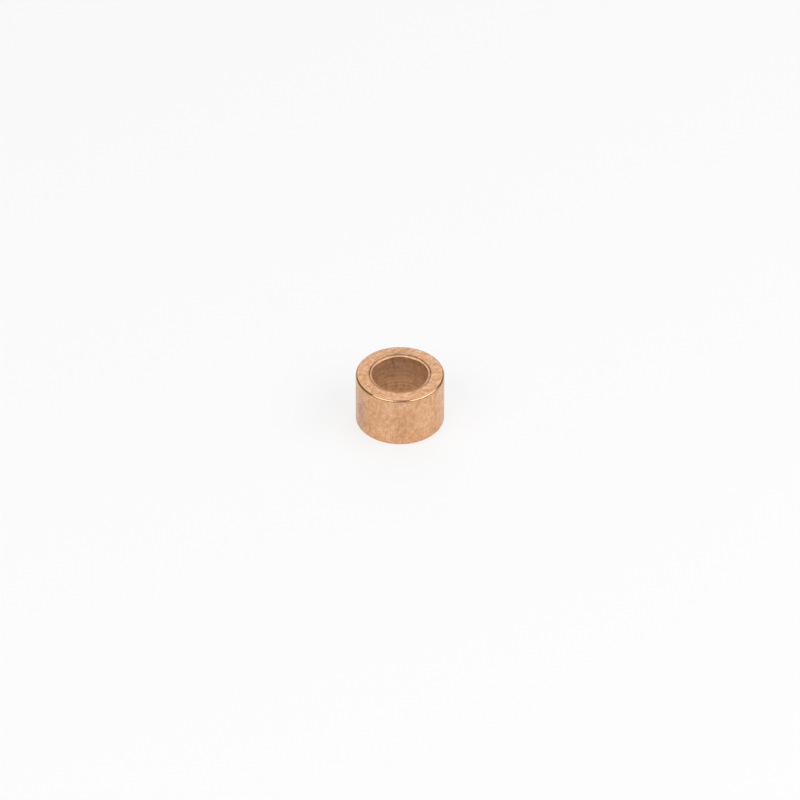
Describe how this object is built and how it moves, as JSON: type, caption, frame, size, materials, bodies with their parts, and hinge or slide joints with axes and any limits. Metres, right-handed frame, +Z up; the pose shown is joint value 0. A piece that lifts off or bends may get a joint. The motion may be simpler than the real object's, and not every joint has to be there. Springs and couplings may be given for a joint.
{
  "type": "bronze sleeve bushing",
  "caption": "Plain cylindrical sleeve bushing in sintered bronze, with a through bore, chamfered outer edges and a shallow sunk land round each mouth of the bore, pressed into a housing to carry a turning shaft.",
  "frame": {"origin": "centre of the lower end face, on the bore axis, where the bushing stands on a table", "axes": "+Z up along the bore axis; X and Y are any two radii, because the part is a figure of revolution"},
  "size_m": [0.016, 0.016, 0.0101],
  "materials": {
    "sintered_bronze": "satin sintered tin bronze: burnished outside and bore, fine open pores, slightly mottled"
  },
  "bodies": {
    "root": {"sleeve": "sintered_bronze"}
  },
  "joints": []
}
